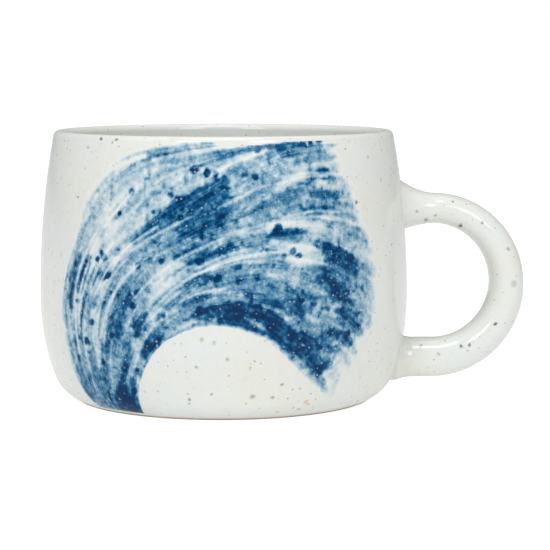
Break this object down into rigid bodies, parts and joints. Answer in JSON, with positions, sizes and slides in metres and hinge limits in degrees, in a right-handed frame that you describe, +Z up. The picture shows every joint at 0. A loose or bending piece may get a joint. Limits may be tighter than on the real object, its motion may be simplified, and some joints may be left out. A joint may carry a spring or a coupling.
{
  "type": "stoneware mug",
  "caption": "Wide low stoneware mug with a round loop handle, off-white speckled glaze and a blue brushed arch.",
  "frame": {"origin": "centre of the foot ring, on the plane that the mug stands on", "axes": "+Z up along the cup's axis, +X from the axis through the handle, the brushed front faces -Y"},
  "size_m": [0.1347, 0.102, 0.074],
  "materials": {
    "stoneware_clay": "unglazed fired stoneware, fine grog",
    "joining_slip": "smoothed slip, fired under glaze",
    "cobalt_pigment": "brushed cobalt, granular, fused into the glaze",
    "white_glaze": "glossy off-white glaze with iron specks"
  },
  "bodies": {
    "root": {"clay_cup": "stoneware_clay", "clay_handle": "stoneware_clay", "upper_slip_joint": "joining_slip", "lower_slip_joint": "joining_slip", "cobalt_brushwork": "cobalt_pigment", "outside_glaze": "white_glaze", "liner_glaze": "white_glaze", "handle_glaze": "white_glaze"}
  },
  "joints": []
}
